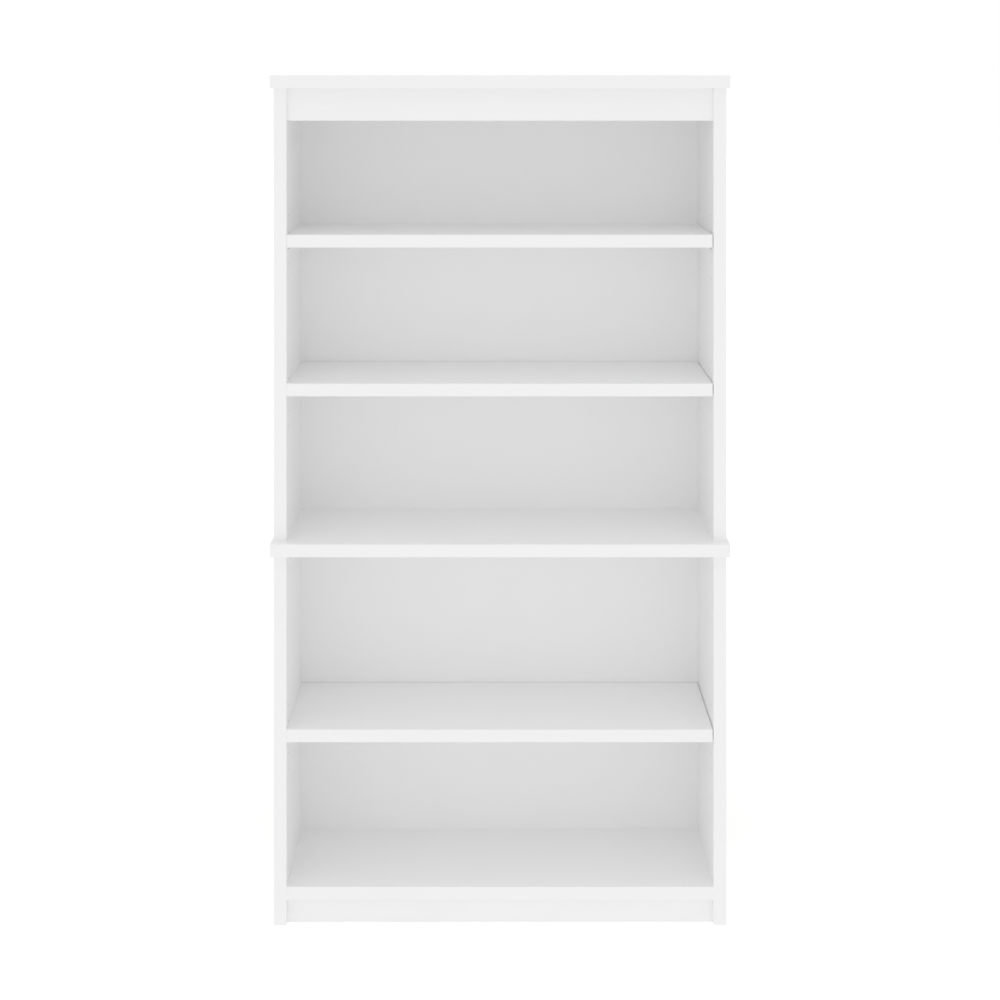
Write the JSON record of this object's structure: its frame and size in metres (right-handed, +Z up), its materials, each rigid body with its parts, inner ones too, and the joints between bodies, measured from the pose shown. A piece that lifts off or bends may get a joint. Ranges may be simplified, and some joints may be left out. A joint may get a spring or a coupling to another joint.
{
  "type": "bookcase with adjustable shelves",
  "caption": "Tall white open bookcase: a lower and an upper case joined at an overhanging middle panel, with adjustable shelves on pins, a fixed bottom shelf, a kick plate and a top rail.",
  "frame": {"origin": "centre of the footprint, on the floor", "axes": "+X to the right as seen from the front, -Y out of the open front, +Z up"},
  "size_m": [0.908, 0.3226, 1.6866],
  "materials": {
    "white_board": "satin white melamine face on particle board",
    "white_edge_band": "satin white edge banding",
    "hardboard_back": "white printed front, bare brown back",
    "white_cap": "satin moulded plastic",
    "pin_steel": "dull nickel plate",
    "cam_zinc": "bare zinc casting",
    "bolt_steel": "zinc plated",
    "nail_steel": "bright drawn wire",
    "beech_dowel": "fluted bare beech",
    "bracket_steel": "zinc plated sheet"
  },
  "bodies": {
    "case": {"top_panel": "white_board", "top_rail": "white_board", "upper_side_left": "white_board", "upper_side_right": "white_board", "middle_panel": "white_board", "lower_side_left": "white_board", "lower_side_right": "white_board", "bottom_shelf": "white_board", "kick_plate": "white_board", "top_panel_edge_band": "white_edge_band", "top_rail_edge_band": "white_edge_band", "upper_side_left_edge_band": "white_edge_band", "upper_side_right_edge_band": "white_edge_band", "middle_panel_edge_band": "white_edge_band", "lower_side_left_edge_band": "white_edge_band", "lower_side_right_edge_band": "white_edge_band", "bottom_shelf_edge_band": "white_edge_band", "upper_back_panel": "hardboard_back", "lower_back_panel": "hardboard_back", "upper_back_nails": "nail_steel", "lower_back_nails": "nail_steel", "top_cam_locks": "cam_zinc", "top_cam_bolts": "bolt_steel", "upper_foot_cam_locks": "cam_zinc", "upper_foot_cam_bolts": "bolt_steel", "lower_head_cam_locks": "cam_zinc", "lower_head_cam_bolts": "bolt_steel", "bottom_shelf_cam_locks": "cam_zinc", "bottom_shelf_cam_bolts": "bolt_steel", "rail_cam_locks": "cam_zinc", "rail_cam_bolts": "bolt_steel", "kick_cam_locks": "cam_zinc", "kick_cam_bolts": "bolt_steel", "wood_dowels": "beech_dowel", "cam_cover_caps": "white_cap", "wall_bracket": "bracket_steel", "wall_bracket_screws": "bolt_steel"},
    "top_shelf": {"top_shelf": "white_board", "top_shelf_edge_band": "white_edge_band"},
    "centre_shelf": {"centre_shelf": "white_board", "centre_shelf_edge_band": "white_edge_band"},
    "low_shelf": {"low_shelf": "white_board", "low_shelf_edge_band": "white_edge_band"},
    "top_shelf_pin_left_front": {"top_shelf_pin_left_front": "pin_steel"},
    "top_shelf_pin_left_back": {"top_shelf_pin_left_back": "pin_steel"},
    "top_shelf_pin_right_front": {"top_shelf_pin_right_front": "pin_steel"},
    "top_shelf_pin_right_back": {"top_shelf_pin_right_back": "pin_steel"},
    "centre_shelf_pin_left_front": {"centre_shelf_pin_left_front": "pin_steel"},
    "centre_shelf_pin_left_back": {"centre_shelf_pin_left_back": "pin_steel"},
    "centre_shelf_pin_right_front": {"centre_shelf_pin_right_front": "pin_steel"},
    "centre_shelf_pin_right_back": {"centre_shelf_pin_right_back": "pin_steel"},
    "low_shelf_pin_left_front": {"low_shelf_pin_left_front": "pin_steel"},
    "low_shelf_pin_left_back": {"low_shelf_pin_left_back": "pin_steel"},
    "low_shelf_pin_right_front": {"low_shelf_pin_right_front": "pin_steel"},
    "low_shelf_pin_right_back": {"low_shelf_pin_right_back": "pin_steel"}
  },
  "joints": [
    {"name": "top_shelf_lift", "type": "slide", "parent": "case", "child": "top_shelf", "axis": [0, 0, 1], "range_m": [0, 0.07]},
    {"name": "centre_shelf_lift", "type": "slide", "parent": "case", "child": "centre_shelf", "axis": [0, 0, 1], "range_m": [0, 0.07]},
    {"name": "low_shelf_lift", "type": "slide", "parent": "case", "child": "low_shelf", "axis": [0, 0, 1], "range_m": [0, 0.07]},
    {"name": "top_shelf_pin_left_front_pull", "type": "slide", "parent": "case", "child": "top_shelf_pin_left_front", "axis": [1, 0, 0], "range_m": [0, 0.012]},
    {"name": "top_shelf_pin_left_back_pull", "type": "slide", "parent": "case", "child": "top_shelf_pin_left_back", "axis": [1, 0, 0], "range_m": [0, 0.012]},
    {"name": "top_shelf_pin_right_front_pull", "type": "slide", "parent": "case", "child": "top_shelf_pin_right_front", "axis": [-1, 0, 0], "range_m": [0, 0.012]},
    {"name": "top_shelf_pin_right_back_pull", "type": "slide", "parent": "case", "child": "top_shelf_pin_right_back", "axis": [-1, 0, 0], "range_m": [0, 0.012]},
    {"name": "centre_shelf_pin_left_front_pull", "type": "slide", "parent": "case", "child": "centre_shelf_pin_left_front", "axis": [1, 0, 0], "range_m": [0, 0.012]},
    {"name": "centre_shelf_pin_left_back_pull", "type": "slide", "parent": "case", "child": "centre_shelf_pin_left_back", "axis": [1, 0, 0], "range_m": [0, 0.012]},
    {"name": "centre_shelf_pin_right_front_pull", "type": "slide", "parent": "case", "child": "centre_shelf_pin_right_front", "axis": [-1, 0, 0], "range_m": [0, 0.012]},
    {"name": "centre_shelf_pin_right_back_pull", "type": "slide", "parent": "case", "child": "centre_shelf_pin_right_back", "axis": [-1, 0, 0], "range_m": [0, 0.012]},
    {"name": "low_shelf_pin_left_front_pull", "type": "slide", "parent": "case", "child": "low_shelf_pin_left_front", "axis": [1, 0, 0], "range_m": [0, 0.012]},
    {"name": "low_shelf_pin_left_back_pull", "type": "slide", "parent": "case", "child": "low_shelf_pin_left_back", "axis": [1, 0, 0], "range_m": [0, 0.012]},
    {"name": "low_shelf_pin_right_front_pull", "type": "slide", "parent": "case", "child": "low_shelf_pin_right_front", "axis": [-1, 0, 0], "range_m": [0, 0.012]},
    {"name": "low_shelf_pin_right_back_pull", "type": "slide", "parent": "case", "child": "low_shelf_pin_right_back", "axis": [-1, 0, 0], "range_m": [0, 0.012]}
  ]
}
